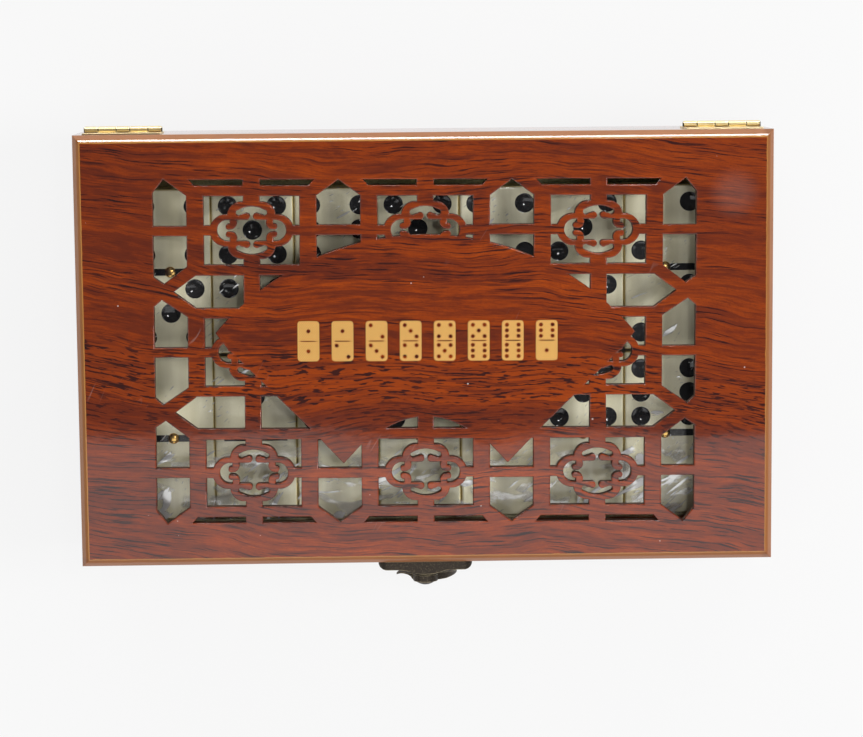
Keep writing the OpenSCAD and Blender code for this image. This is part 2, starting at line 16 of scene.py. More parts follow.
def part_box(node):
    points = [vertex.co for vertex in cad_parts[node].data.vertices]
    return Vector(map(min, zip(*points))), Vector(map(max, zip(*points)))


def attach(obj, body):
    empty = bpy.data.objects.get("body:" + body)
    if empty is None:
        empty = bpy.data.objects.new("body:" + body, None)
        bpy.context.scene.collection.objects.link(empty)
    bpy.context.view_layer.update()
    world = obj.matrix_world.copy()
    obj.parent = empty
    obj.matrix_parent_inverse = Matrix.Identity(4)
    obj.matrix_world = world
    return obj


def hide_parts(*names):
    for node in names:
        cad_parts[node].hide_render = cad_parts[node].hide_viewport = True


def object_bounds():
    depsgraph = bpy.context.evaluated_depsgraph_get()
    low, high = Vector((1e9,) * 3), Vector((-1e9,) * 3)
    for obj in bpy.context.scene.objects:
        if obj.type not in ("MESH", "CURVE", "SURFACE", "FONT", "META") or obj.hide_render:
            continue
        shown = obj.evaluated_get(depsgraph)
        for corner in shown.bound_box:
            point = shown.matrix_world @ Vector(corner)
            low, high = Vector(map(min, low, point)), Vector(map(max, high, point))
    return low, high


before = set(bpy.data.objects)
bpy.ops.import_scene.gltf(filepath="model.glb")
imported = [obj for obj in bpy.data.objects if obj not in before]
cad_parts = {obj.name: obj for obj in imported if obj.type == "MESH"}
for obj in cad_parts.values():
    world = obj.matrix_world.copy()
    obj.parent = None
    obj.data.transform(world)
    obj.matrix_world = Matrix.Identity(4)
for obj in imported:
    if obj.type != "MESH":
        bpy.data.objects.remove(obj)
cad_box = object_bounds()
MM = 0.001

# %% [markdown]
# ## Camera
#
# A long lens far above the case flattens its perspective, as in a catalogue. The camera stands a little
# towards the hinges, so the upper edge of the back shows and the front face doesn't. Three small turns
# say where it looks, and its place follows in metres.

# %% Camera
def add_camera(lens, place, turns):
    camera = bpy.data.objects.new("camera", bpy.data.cameras.new("camera"))
    camera.data.sensor_width = 36
    camera.data.lens = lens
    camera.data.clip_start = 0.01
    aim = Matrix.Identity(3)
    for angle, axis in zip(turns, "XYZ"):
        aim = aim @ Matrix.Rotation(angle, 3, axis)
    camera.matrix_world = Matrix.Translation(place) @ aim.transposed().to_4x4()
    bpy.context.scene.collection.objects.link(camera)
    bpy.context.scene.camera = camera
    return camera

LENS = 112.05
CAMERA_PLACE = Vector((-0.01698, 0.09313, 0.83534))
CAMERA_TURNS = (0.1227, 0.0243, 0.0088)
camera = add_camera(LENS, CAMERA_PLACE, CAMERA_TURNS)
print("camera", [round(v, 4) for v in camera.matrix_world.translation])

# %% [markdown]
# ## Building materials
#
# A material here is a small tree of nodes. Two helpers keep the trees short to write: one adds a node
# and fills or links its sockets, the other starts a node group with named sockets. Effects that several
# finishes share, such as wood grain and rubbed edges, are groups, and each material puts in its own
# values.

# %% Helpers for node trees
def node(tree, kind, inputs=None, **settings):
    made = tree.nodes.new("ShaderNode" + kind)
    for name, value in settings.items():
        setattr(made, name, value)
    for name, value in (inputs or {}).items():
        if isinstance(value, bpy.types.NodeSocket):
            tree.links.new(value, made.inputs[name])
        else:
            made.inputs[name].default_value = value
    return made


def math(tree, operation, first, second=0.0, clamp=False):
    return node(tree, "Math", {0: first, 1: second}, operation=operation, use_clamp=clamp).outputs[0]


MIX_FACTOR, MIX_COLOUR_A, MIX_COLOUR_B, MIX_COLOUR_OUT = 0, 6, 7, 2


def blend(tree, factor, first, second):
    made = node(tree, "Mix", {MIX_FACTOR: factor, MIX_COLOUR_A: first, MIX_COLOUR_B: second},
                data_type="RGBA", clamp_factor=True)
    return made.outputs[MIX_COLOUR_OUT]


def step(tree, value, low, high):
    made = node(tree, "MapRange", {"Value": value, "From Min": low, "From Max": high}, clamp=True)
    made.interpolation_type = "SMOOTHSTEP"
    return made.outputs[0]


def stretched_noise(tree, vector, scale, detail=2.0, roughness=0.5):
    place = node(tree, "VectorMath", {0: vector, 1: scale}, operation="MULTIPLY").outputs[0]
    return node(tree, "TexNoise", {"Vector": place, "Scale": 1.0, "Detail": detail,
                                   "Roughness": roughness}).outputs[0]


def new_group(name, inputs, outputs):
    tree = bpy.data.node_groups.new(name, "ShaderNodeTree")
    for socket, kind, value in inputs:
        made = tree.interface.new_socket(name=socket, in_out="INPUT", socket_type="NodeSocket" + kind)
        if value is not None:
            made.default_value = value
    for socket, kind in outputs:
        tree.interface.new_socket(name=socket, in_out="OUTPUT", socket_type="NodeSocket" + kind)
    return tree, tree.nodes.new("NodeGroupInput").outputs, tree.nodes.new("NodeGroupOutput").inputs


def use_group(tree, group, inputs):
    return node(tree, "Group", inputs, node_tree=group).outputs


def new_material(name, **constants):
    made = bpy.data.materials.new(name)
    made.use_nodes = True
    tree = made.node_tree
    shader = tree.nodes["Principled BSDF"]
    for socket, value in constants.items():
        shader.inputs[socket.replace("_", " ")].default_value = value
    return made, tree, shader


def object_place(tree):
    return node(tree, "TexCoord").outputs["Object"]

# %% [markdown]
# ## Rosewood
#
# The board and the rails carry a printed rosewood veneer under thick gloss lacquer. Its look comes from
# several things that all run with the grain: broad bands of lighter and darker brown, fine fibres with a
# little grit, soft dark streaks like smoke, and short black pores that gather in clumps. One group draws
# them from stretched noise. It takes a place in millimetres along and across the grain. A slow warp bends
# the lines as a real board's rings do, and towards both ends they fan out downhill. Below the middle of
# the lid runs a brighter belt with rounder pores, and a dark one under it. Both flanks are a little darker.

# %% Wood grain group
grain_group, given, grain_out = new_group("wood_grain", [
    ("Vector", "Vector", None),
    ("Light", "Color", (0.27, 0.045, 0.006, 1)), ("Middle", "Color", (0.195, 0.031, 0.006, 1)),
    ("Deep", "Color", (0.092, 0.017, 0.008, 1)), ("Pore", "Color", (0.014, 0.007, 0.008, 1))],
    [("Color", "Color")])
tree = grain_group
FAN_LEFT, FAN_RIGHT, FAN_SLOPE = -45.0, 35.0, 0.13
BELT_MIDDLE, SHADE_MIDDLE = 26.5, 14.0
spot = node(tree, "SeparateXYZ", {0: given["Vector"]}).outputs
straight = math(tree, "MINIMUM", math(tree, "MAXIMUM", spot[0], FAN_LEFT), FAN_RIGHT)
fan = math(tree, "MULTIPLY", math(tree, "SUBTRACT", spot[0], straight), FAN_SLOPE)
slow = stretched_noise(tree, given["Vector"], (0.011, 0.022, 0), 1.0)
wiggle = stretched_noise(tree, given["Vector"], (0.05, 0.09, 0), 2.0)
drift = math(tree, "ADD", math(tree, "MULTIPLY", math(tree, "SUBTRACT", slow, 0.5), 16.0),
             math(tree, "MULTIPLY", math(tree, "SUBTRACT", wiggle, 0.5), 3.0))
bend = node(tree, "CombineXYZ", {"Y": math(tree, "ADD", drift, fan)}).outputs[0]
along = node(tree, "VectorMath", {0: given["Vector"], 1: bend}, operation="ADD").outputs[0]
bands = stretched_noise(tree, along, (0.006, 0.14, 0), 4.0, 0.6)
mottle = stretched_noise(tree, along, (0.14, 0.62, 0), 3.0, 0.65)
fibre = stretched_noise(tree, along, (0.12, 2.6, 0), 3.0, 0.65)
smoke = stretched_noise(tree, along, (0.030, 0.60, 0), 3.0, 0.62)
grit = stretched_noise(tree, along, (1.3, 2.8, 0), 1.0)
streaks = stretched_noise(tree, along, (0.058, 1.6, 0), 3.0, 0.62)
ticks = stretched_noise(tree, along, (0.20, 1.25, 0), 2.0, 0.5)
clumps = stretched_noise(tree, along, (0.014, 0.11, 0), 2.0)
depth = math(tree, "ADD", math(tree, "MULTIPLY", bands, 0.6), math(tree, "MULTIPLY", mottle, 0.4))
tone = blend(tree, step(tree, depth, 0.38, 0.52), given["Deep"], given["Middle"])
tone = blend(tree, step(tree, depth, 0.49, 0.66), tone, given["Light"])
tone = blend(tree, math(tree, "MULTIPLY", step(tree, fibre, 0.42, 0.68), 0.50), tone, given["Deep"])
tone = blend(tree, math(tree, "MULTIPLY", step(tree, grit, 0.50, 0.75), 0.40), tone, given["Deep"])
level = node(tree, "SeparateXYZ", {0: along}).outputs[1]
belt = step(tree, math(tree, "ABSOLUTE", math(tree, "SUBTRACT", level, BELT_MIDDLE)), 11.0, 6.0)
shade = step(tree, math(tree, "ABSOLUTE", math(tree, "SUBTRACT", level, SHADE_MIDDLE)), 6.0, 2.0)
tone = blend(tree, math(tree, "MULTIPLY", belt, 0.4), tone, given["Light"])
tone = blend(tree, math(tree, "MULTIPLY", step(tree, smoke, 0.47, 0.62), 0.75), tone, given["Deep"])
flank = step(tree, math(tree, "ABSOLUTE", spot[0]), 62.0, 80.0)
tone = blend(tree, math(tree, "MAXIMUM", math(tree, "MULTIPLY", shade, 0.6), math(
    tree, "MULTIPLY", flank, 0.22)), tone, given["Deep"])
front = step(tree, level, 10.0, -5.0)
gather = math(tree, "ADD", math(tree, "ADD", 0.28, math(tree, "MULTIPLY", front, 0.6)),
              step(tree, clumps, 0.40, 0.60))
lines = math(tree, "MULTIPLY", step(tree, streaks, 0.53, 0.63), gather)
spots = math(tree, "MULTIPLY", step(tree, ticks, 0.55, 0.62), math(
    tree, "ADD", math(tree, "MULTIPLY", step(tree, clumps, 0.58, 0.42), 0.16), math(
        tree, "MAXIMUM", belt, math(tree, "MULTIPLY", shade, 0.7))))
cover = math(tree, "MAXIMUM", lines, spots, clamp=True)
tree.links.new(blend(tree, math(tree, "MULTIPLY", cover, 0.90), tone, given["Pore"]), grain_out["Color"])
print("wood grain group", len(tree.nodes), "nodes")

# %% [markdown]
# Lacquer is a clear coat. Its surface is never quite flat: it swells over some centimetres, so the edge
# of a reflected lamp wavers. A second group gives that height, with settled dust, a few fine scratches and
# one faint pale patch near the back right corner, which is painted reflection: the haze of a soft lamp put
# into the colour.

# %% Lacquer group
lacquer_group, given, lacquer_out = new_group("lacquer", [("Vector", "Vector", None)],
                                              [("Height", "Float"), ("Dust_and_haze", "Float")])
tree = lacquer_group
SWELL, PEEL = 0.55 * MM, 0.0035 * MM
swell = stretched_noise(tree, given["Vector"], (9, 14, 14), 1.0)
peel = stretched_noise(tree, given["Vector"], (420, 420, 420), 1.0)
tree.links.new(math(tree, "ADD", math(tree, "MULTIPLY", swell, SWELL),
                    math(tree, "MULTIPLY", peel, PEEL)), lacquer_out["Height"])

SPECK_CELLS, SPECK_RARITY, SPECK_SIZE = 240.0, 0.72, 0.26
speck = node(tree, "TexVoronoi", {"Vector": given["Vector"], "Scale": SPECK_CELLS})
chance = node(tree, "SeparateColor", {0: speck.outputs["Color"]}).outputs[0]
size = math(tree, "MULTIPLY", math(tree, "SUBTRACT", chance, SPECK_RARITY, clamp=True), SPECK_SIZE)
dust = math(tree, "LESS_THAN", speck.outputs["Distance"], size)

# Painted reflection: a pale patch near the back right corner stands in for a soft lamp's haze on the
# lacquer.
HAZE_PLACE = (0.0925, 0.046, 0.036)
away = node(tree, "VectorMath", {0: given["Vector"], 1: HAZE_PLACE}, operation="DISTANCE").outputs["Value"]
painted_haze = step(tree, away, 9 * MM, 2 * MM)

SCRATCH_LEAN = radians(28)
leant = node(tree, "Mapping", {"Vector": given["Vector"], "Rotation": (0, 0, SCRATCH_LEAN)}).outputs[0]
valley = math(tree, "ABSOLUTE", math(
    tree, "SUBTRACT", stretched_noise(tree, leant, (150, 22, 60), 1.0), 0.5))
worn = step(tree, stretched_noise(tree, leant, (32, 60, 45), 1.0), 0.63, 0.74)
scratch = math(tree, "MULTIPLY", step(tree, valley, 0.008, 0.001), worn)
scratches_and_haze = math(tree, "ADD", math(tree, "MULTIPLY", scratch, 0.08), math(tree, "MULTIPLY", painted_haze, 0.035))
tree.links.new(math(tree, "MAXIMUM", math(tree, "MULTIPLY", dust, 0.40), scratches_and_haze), lacquer_out["Dust_and_haze"])
print("lacquer group", len(tree.nodes), "nodes")

# %% Lacquered rosewood, with the grain along X or along Y
# Pale colour of the dust specks and scratches, also used for the painted haze patch.
DUST_AND_HAZE = (0.75, 0.66, 0.62, 1)


def grain_place(tree, turned, shift):
    spot = node(tree, "SeparateXYZ", {0: object_place(tree)}).outputs
    length, depth = (spot[1], spot[0]) if turned else (spot[0], spot[1])
    across = math(tree, "ADD", depth, spot[2])
    flat = node(tree, "CombineXYZ", {0: length, 1: across}).outputs[0]
    return node(tree, "Mapping", {"Vector": flat, "Location": shift, "Scale": (1 / MM,) * 3}).outputs[0]


def rosewood(name, turned=False, shift=(0, 0, 0)):
    made, tree, shader = new_material(name, Roughness=0.4, Specular_IOR_Level=0.0, Coat_Weight=1.0,
                                      Coat_Roughness=0.05)
    grain = use_group(tree, grain_group, {"Vector": grain_place(tree, turned, shift)})
    coat = use_group(tree, lacquer_group, {"Vector": object_place(tree)})
    tree.links.new(blend(tree, coat["Dust_and_haze"], grain["Color"], DUST_AND_HAZE), shader.inputs["Base Color"])
    bump = node(tree, "Bump", {"Height": coat["Height"], "Strength": 1.0, "Distance": 1.0})
    tree.links.new(bump.outputs[0], shader.inputs["Normal"])
    tree.links.new(bump.outputs[0], shader.inputs["Coat Normal"])
    return made, tree, shader

rosewood_x = rosewood("rosewood_long", shift=(140, 60, 0))[0]
rosewood_y = rosewood("rosewood_short", turned=True, shift=(-60, 230, 0))[0]
print("rosewood", rosewood_x.name, rosewood_y.name)

# %% [markdown]
# The lid's face is the same rosewood, but the two bevels round its edge are painted by hand: the inner
# one ochre, the outer one a duller brown. The ochre runs over the ridge onto the flat of the board, where
# it ends in a thin wavy line of bare paint, coloured lighter, partly as painted highlight for the glints
# along its thick edge. How far a point lies from the board's edge says which of the three it has, so one
# group measures that. Along the right and the front the paint's colour is darkened as painted shade.

# %% Lid face with its painted rim
HALF_L, HALF_W = cad_box[1][0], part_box("lid_fret_panel")[1][1]
PAINT_REACH, PAINT_FOOT = 2.42 * MM, 33.75 * MM
rim_group, given, rim_out = new_group("rim_distance", [("Vector", "Vector", None)], [("Reach", "Float")])
spot = node(rim_group, "SeparateXYZ", {0: given["Vector"]}).outputs
reach = math(rim_group, "MINIMUM",
             math(rim_group, "SUBTRACT", HALF_L, math(rim_group, "ABSOLUTE", spot[0])),
             math(rim_group, "SUBTRACT", HALF_W, math(rim_group, "ABSOLUTE", spot[1])))
wave = stretched_noise(rim_group, given["Vector"], (230, 230, 230), 3.0, 0.6)
rim_group.links.new(math(rim_group, "ADD", reach, math(
    rim_group, "MULTIPLY", math(rim_group, "SUBTRACT", wave, 0.5), 0.5 * MM)), rim_out["Reach"])

OCHRE, PALE_OCHRE_AND_GLINT = (0.21, 0.066, 0.006, 1), (0.36, 0.16, 0.035, 1)
lid_face, tree, shader = rosewood("rosewood_lid")
place = object_place(tree)
height = node(tree, "SeparateXYZ", {0: place}).outputs[2]
# The thin line at the paint's edge is coloured lighter, partly as painted highlight for the glints along the
# thick paint edge.
painted = math(tree, "MULTIPLY", math(tree, "LESS_THAN", use_group(
    tree, rim_group, {"Vector": place})["Reach"], PAINT_REACH), math(
        tree, "GREATER_THAN", height, PAINT_FOOT))
broken = step(tree, stretched_noise(tree, place, (430, 430, 430), 2.0), 0.38, 0.52)
painted = math(tree, "MULTIPLY", painted, math(tree, "ADD", 0.4, math(tree, "MULTIPLY", broken, 0.6)))
wood = shader.inputs["Base Color"].links[0].from_socket
tree.links.new(blend(tree, painted, wood, PALE_OCHRE_AND_GLINT), shader.inputs["Base Color"])

rim_paint, tree, shader = new_material("rim_paint", Roughness=0.5, Specular_IOR_Level=0.2, Coat_Weight=0.7,
                                       Coat_Roughness=0.07)
place = object_place(tree)
reach = use_group(tree, rim_group, {"Vector": place})["Reach"]
tint = stretched_noise(tree, place, (90, 90, 90), 3.0)
inner = blend(tree, tint, OCHRE, (0.28, 0.095, 0.010, 1))
inner = blend(tree, step(tree, reach, 1.95 * MM, 2.2 * MM), inner, PALE_OCHRE_AND_GLINT)
outer = blend(tree, tint, (0.23, 0.088, 0.030, 1), (0.32, 0.125, 0.045, 1))
coats = blend(tree, step(tree, reach, 1.1 * MM, 1.4 * MM), outer, inner)
spot = node(tree, "SeparateXYZ", {0: place}).outputs
# Painted shade: the rim's colour is darkened along the right side and along the front.
right_painted_shade = math(tree, "MULTIPLY", step(tree, spot[0], 101 * MM, 102.5 * MM), 0.5)
front_painted_shade = math(tree, "MULTIPLY", step(tree, spot[1], -61.5 * MM, -63 * MM), 0.35)
coats = blend(tree, right_painted_shade, coats, (0.13, 0.035, 0.004, 1))
tree.links.new(blend(tree, front_painted_shade, coats, (0.15, 0.045, 0.018, 1)), shader.inputs["Base Color"])

raw_board, tree, shader = new_material("raw_board", Roughness=0.75)
fleck = stretched_noise(tree, object_place(tree), (900, 900, 900), 3.0)
tree.links.new(blend(tree, fleck, (0.030, 0.012, 0.007, 1), (0.085, 0.036, 0.018, 1)),
               shader.inputs["Base Color"])
print("lid materials", lid_face.name, raw_board.name)

# %% [markdown]
# ## Finishing a solid
#
# The loaded meshes are loose triangles with knife-sharp edges. A finished piece starts as a copy whose
# doubled points are merged and whose flat areas are one face each. Its edges are then eased by a bevel,
# because no real edge is sharp and the thin highlight along it is what makes a piece look made. Curved
# parts are shaded smooth and the true corners stay crisp.

# %% Helpers for finished pieces
SMOOTH_UNDER, FLAT_UNDER = radians(32), radians(0.2)
DOUBLES_WITHIN = 0.002 * MM


def merged_copy(node_name):
    bm = bmesh.new()
    bm.from_mesh(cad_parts[node_name].data)
    bmesh.ops.remove_doubles(bm, verts=bm.verts, dist=DOUBLES_WITHIN)
    bmesh.ops.dissolve_limit(bm, angle_limit=FLAT_UNDER, verts=bm.verts, edges=bm.edges)
    return bm


def edge_angle(edge):
    return edge.calc_face_angle(0.0) if len(edge.link_faces) == 2 else 0.0


def finish_mesh(bm, name, body, materials, bevel=0.0, segments=2):
    for edge in bm.edges:
        edge.smooth = edge_angle(edge) < SMOOTH_UNDER
    for face in bm.faces:
        face.smooth = True
    mesh = bpy.data.meshes.new(name)
    bm.to_mesh(mesh)
    bm.free()
    made = bpy.data.objects.new(name, mesh)
    bpy.context.scene.collection.objects.link(made)
    for material in materials:
        mesh.materials.append(material)
    if bevel:
        ease = made.modifiers.new("eased_edges", "BEVEL")
        ease.width, ease.segments = bevel, segments
        ease.limit_method, ease.angle_limit = "ANGLE", SMOOTH_UNDER
    flat = made.modifiers.new("flat_faces_stay_flat", "WEIGHTED_NORMAL")
    flat.keep_sharp = True
    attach(made, body)
    return made


def finish_node(node_name, body, material, bevel=0.0, segments=2):
    made = finish_mesh(merged_copy(node_name), node_name + ".finished", body, [material],
                       bevel, segments)
    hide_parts(node_name)
    return made

# %% [markdown]
# ## Wooden case
#
# The lattice board is the piece that everyone looks at. After sawing, its windows were rubbed down and
# lacquered, so their upper edges are rounded by nearly half a millimetre and catch the light. Only those
# edges and the ridges of the rim are bevelled, with a bevel operator on a chosen set of edges. The walls
# of the windows and the underside show raw board.

# %% Lattice board
LIP, RIDGE = 0.32 * MM, 0.22 * MM
RIM_W, RIM_DEPTH = 3 * MM, 2.4 * MM
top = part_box("lid_fret_panel")[1]
bm = merged_copy("lid_fret_panel")


def inside_rim(point):
    return abs(point.x) < top.x - RIM_W and abs(point.y) < top.y - RIM_W


for face in bm.faces:
    face.material_index = int(face.normal.z < 0.3 and inside_rim(face.calc_center_median())
                              or face.normal.z < -0.9)
lips = [e for e in bm.edges if len(e.link_faces) == 2 and edge_angle(e) > radians(60)
        and all(v.co.z > top.z - 0.01 * MM and inside_rim(v.co) for v in e.verts)]
bmesh.ops.bevel(bm, geom=lips, affect="EDGES", offset=LIP, segments=3, profile=0.5, material=0,
                clamp_overlap=False)
ridges = [e for e in bm.edges if edge_angle(e) > radians(5) and not inside_rim(e.verts[0].co)
          and all(v.co.z > top.z - RIM_DEPTH for v in e.verts)]
bmesh.ops.bevel(bm, geom=ridges, affect="EDGES", offset=RIDGE, segments=3, profile=0.5, material=0,
                clamp_overlap=True)
for face in bm.faces:
    if not inside_rim(face.calc_center_median()) and 0.02 < face.normal.z < 0.999:
        face.material_index = 2
lid_top = finish_mesh(bm, "lid_lattice_board", "lid", [lid_face, raw_board, rim_paint])
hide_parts("lid_fret_panel")
print("lattice board", len(lid_top.data.polygons), "faces,", len(lips), "lip edges,", len(ridges), "ridges")

# %% Rails, walls and floor board
for name, material in {
        "lid_front_rail": rosewood_x, "lid_back_rail": rosewood_x,
        "lid_left_rail": rosewood_y, "lid_right_rail": rosewood_y,
        "base_front_wall": rosewood_x, "base_back_wall": rosewood_x,
        "base_left_wall": rosewood_y, "base_right_wall": rosewood_y,
        "base_floor": rosewood_x}.items():
    finish_node(name, name.split("_")[0], material, 0.12 * MM)
print("nine boards finished")

# %% [markdown]
# ## Felt
#
# Olive felt lines the case. It only shows in the gap behind the dominoes and through open windows. Felt
# has no shine, a fine tangle of fibres and slightly uneven dye, so a rough surface with two sizes of
# noise is enough.

# %% Felt lining
felt, tree, shader = new_material("olive_felt", Roughness=0.95, Sheen_Weight=0.3, Sheen_Roughness=0.5)
fibres = stretched_noise(tree, object_place(tree), (1600, 1600, 1600), 4.0, 0.7)
dye = stretched_noise(tree, object_place(tree), (90, 90, 90), 2.0)
mixed = math(tree, "ADD", math(tree, "MULTIPLY", fibres, 0.6), math(tree, "MULTIPLY", dye, 0.4))
tree.links.new(blend(tree, step(tree, mixed, 0.3, 0.7), (0.42, 0.375, 0.21, 1), (0.70, 0.64, 0.40, 1)),
               shader.inputs["Base Color"])
tree.links.new(node(tree, "Bump", {"Height": fibres, "Strength": 0.6, "Distance": 0.15 * MM}).outputs[0],
               shader.inputs["Normal"])
for name in ("lining_floor", "lining_walls"):
    finish_node(name, "base", felt)

# %% [markdown]
# ## Dominoes
#
# A domino is moulded in cream plastic and polished. The pips and the divider are shallow recesses, filled
# with a thin coat of black enamel. The recesses are already in the solids, so the enamel is a second
# material on the faces that lie lower than the tile's face. The plastic is faintly streaked along its
# length, and the faces that don't point up are given a darker yellow.

# %% Cream plastic and black enamel
cream, tree, shader = new_material("cream_plastic", Roughness=0.16, Coat_Weight=0.35, Coat_Roughness=0.04)
streak = stretched_noise(tree, object_place(tree), (170, 14, 40), 2.0)
flow = stretched_noise(tree, object_place(tree), (520, 60, 60), 2.0)
face_up = node(tree, "SeparateXYZ", {0: node(tree, "NewGeometry").outputs["Normal"]}).outputs[2]
pale = blend(tree, step(tree, streak, 0.3, 0.7), (0.72, 0.67, 0.46, 1), (0.86, 0.82, 0.61, 1))
pale = blend(tree, math(tree, "MULTIPLY", step(tree, flow, 0.45, 0.75), 0.25), pale, (0.62, 0.58, 0.38, 1))
# Faces that don't point up get a darker yellow.
tree.links.new(blend(tree, step(tree, face_up, 0.96, 0.5), pale, (0.60, 0.46, 0.15, 1)),
               shader.inputs["Base Color"])

enamel, tree, shader = new_material("black_enamel", Roughness=0.10, Specular_IOR_Level=0.5)
brush = stretched_noise(tree, object_place(tree), (700, 900, 700), 3.0)
tree.links.new(blend(tree, brush, (0.002, 0.002, 0.003, 1), (0.008, 0.008, 0.011, 1)),
               shader.inputs["Base Color"])
tree.links.new(node(tree, "Bump", {"Height": brush, "Strength": 0.12, "Distance": 0.03 * MM}).outputs[0],
               shader.inputs["Normal"])

# %% Finish every domino
TILE_MARGIN, TILE_SKIN = 1.2 * MM, 0.03 * MM
tiles = [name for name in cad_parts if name.startswith("domino_")]
for name in tiles:
    low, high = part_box(name)
    bm = merged_copy(name)
    for face in bm.faces:
        centre = face.calc_center_median()
        inside = (low.x + TILE_MARGIN < centre.x < high.x - TILE_MARGIN
                  and low.y + TILE_MARGIN < centre.y < high.y - TILE_MARGIN)
        face.material_index = int(inside and low.z + 5 * MM < centre.z < high.z - TILE_SKIN)
    tile = finish_mesh(bm, name + ".finished", "base", [cream, enamel])
    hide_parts(name)
print(len(tiles), "dominoes,", len(tile.data.polygons), "faces on the last")

# %% [markdown]
# ## Metals
#
# The hinges are bright brass, and the spinner pins a warmer and smoother one. The latch is a zinc
# casting, plated and then antiqued: a dark bronze skin that is rubbed back to yellow metal along its
# edges and is black in its corners, partly patina and partly painted shade. A bevel node compares the
# surface with a rounded version of itself, so the difference is an edge mask. Noise breaks the mask up,
# because hands don't rub evenly. An ambient occlusion node finds the corners, where the patina gathers
# and the painted shade falls.

# %% Rubbed edge group and the metals
edge_group, given, edge_out = new_group("rubbed_edges", [
    ("Vector", "Vector", None), ("Width", "Float", 0.4 * MM), ("Amount", "Float", 1.0)], [("Mask", "Float")])
rounded = node(edge_group, "Bevel", {"Radius": given["Width"]}, samples=6).outputs[0]
true_face = node(edge_group, "NewGeometry").outputs["Normal"]
facing = node(edge_group, "VectorMath", {0: rounded, 1: true_face}, operation="DOT_PRODUCT").outputs["Value"]
rub = stretched_noise(edge_group, given["Vector"], (520, 520, 520), 3.0, 0.65)
mask = math(edge_group, "MULTIPLY", step(edge_group, facing, 0.995, 0.90), step(edge_group, rub, 0.25, 0.6))
edge_group.links.new(math(edge_group, "MULTIPLY", mask, given["Amount"], clamp=True), edge_out["Mask"])


def metal(name, dull, bright, polished, matt, grain_scale, wear, patina=0.0):
    made, tree, shader = new_material(name, Metallic=1.0)
    place = object_place(tree)
    mottle = stretched_noise(tree, place, (grain_scale,) * 3, 4.0, 0.6)
    worn = use_group(tree, edge_group, {"Vector": place, "Amount": wear})["Mask"]
    speckle = math(tree, "MULTIPLY", step(tree, mottle, 0.5, 0.78), 0.6 - 0.25 * patina)
    shine = math(tree, "MAXIMUM", worn, speckle)
    open_sky = node(tree, "AmbientOcclusion", {"Distance": 2.5 * MM}, samples=6).outputs["AO"]
    # Black in the corners: partly patina, partly painted shade, such as where the hook lies under the plate.
    black = math(tree, "MULTIPLY", step(tree, open_sky, 0.85, 0.40), patina)
    tree.links.new(blend(tree, black, blend(tree, shine, dull, bright), (0.006, 0.005, 0.005, 1)),
                   shader.inputs["Base Color"])
    tree.links.new(node(tree, "MapRange", {"Value": shine, "To Min": matt, "To Max": polished}).outputs[0],
                   shader.inputs["Roughness"])
    tree.links.new(node(tree, "Bump", {"Height": mottle, "Strength": 0.4, "Distance": 0.08 * MM}).outputs[0],
                   shader.inputs["Normal"])
    return made

brass = metal("polished_brass", dull=(0.84, 0.67, 0.36, 1), bright=(0.96, 0.86, 0.60, 1),
              polished=0.27, matt=0.38, grain_scale=900, wear=0.7)
bronze = metal("antique_bronze", dull=(0.050, 0.041, 0.034, 1), bright=(0.34, 0.28, 0.175, 1),
               polished=0.32, matt=0.45, grain_scale=2100, wear=1.0, patina=1.0)
pin_brass = metal("pin_brass", dull=(0.78, 0.48, 0.15, 1), bright=(0.95, 0.68, 0.28, 1),
                  polished=0.16, matt=0.26, grain_scale=900, wear=0.7)
print("metals", brass.name, bronze.name, pin_brass.name)

# %% Hinges, screws and spinner pins
for side in ("left", "right"):
    finish_node(f"hinge_{side}_lid_leaf", "lid", brass, 0.1 * MM)
    finish_node(f"hinge_{side}_base_leaf", "base", brass, 0.1 * MM)
    finish_node(f"hinge_{side}_pin", "base", bronze, 0.05 * MM)
finish_node("hinge_lid_screws", "lid", brass)
finish_node("hinge_base_screws", "base", brass)
finish_node("spinner_pins", "base", pin_brass)
print("hinges, screws and spinners finished")

# %% [markdown]
# ## Heads of the spinner pins
#
# Every domino has a brass pin in its middle, and its round head stands over the face, so that the domino
# can be spun on it. Each head is a flattened ball, cut off level with the faces. A lower domino's head
# would be out of sight under the upper one, so only the upper layer gets them.

# %% Heads of the spinner pins
HEAD_R, HEAD_H = 1.7 * MM, 0.75 * MM
faces_up = max(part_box(name)[1].z for name in tiles)
heads = []
bm = bmesh.new()
for name in tiles:
    low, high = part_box(name)
    if high.z > faces_up - 1 * MM:
        heads.append(((low.x + high.x) / 2, (low.y + high.y) / 2))
        bmesh.ops.create_uvsphere(bm, u_segments=28, v_segments=14, radius=1, matrix=Matrix.Translation(
            (*heads[-1], faces_up)) @ Matrix.Diagonal((HEAD_R, HEAD_R, HEAD_H, 1)))
bmesh.ops.bisect_plane(bm, geom=bm.verts[:] + bm.edges[:] + bm.faces[:], plane_co=(0, 0, faces_up),
                       plane_no=(0, 0, -1), dist=0.001 * MM, clear_outer=True)
bmesh.ops.edgeloop_fill(bm, edges=[e for e in bm.edges if e.is_boundary])
bmesh.ops.recalc_face_normals(bm, faces=bm.faces)
finish_mesh(bm, "spinner_heads", "base", [pin_brass])
print(len(heads), "heads on the upper dominoes")

# %% Latch
for name, body, ease in (
        ("latch_lid_plate", "lid", 0.4), ("latch_rivet", "lid", 0.0), ("latch_lid_nails", "lid", 0.0),
        ("latch_hook", "hook", 0.16), ("latch_base_plate", "base", 0.3), ("latch_stud", "base", 0.0),
        ("latch_base_nails", "base", 0.0)):
    finish_node(name, body, bronze, ease * MM, 3)
print("latch finished")
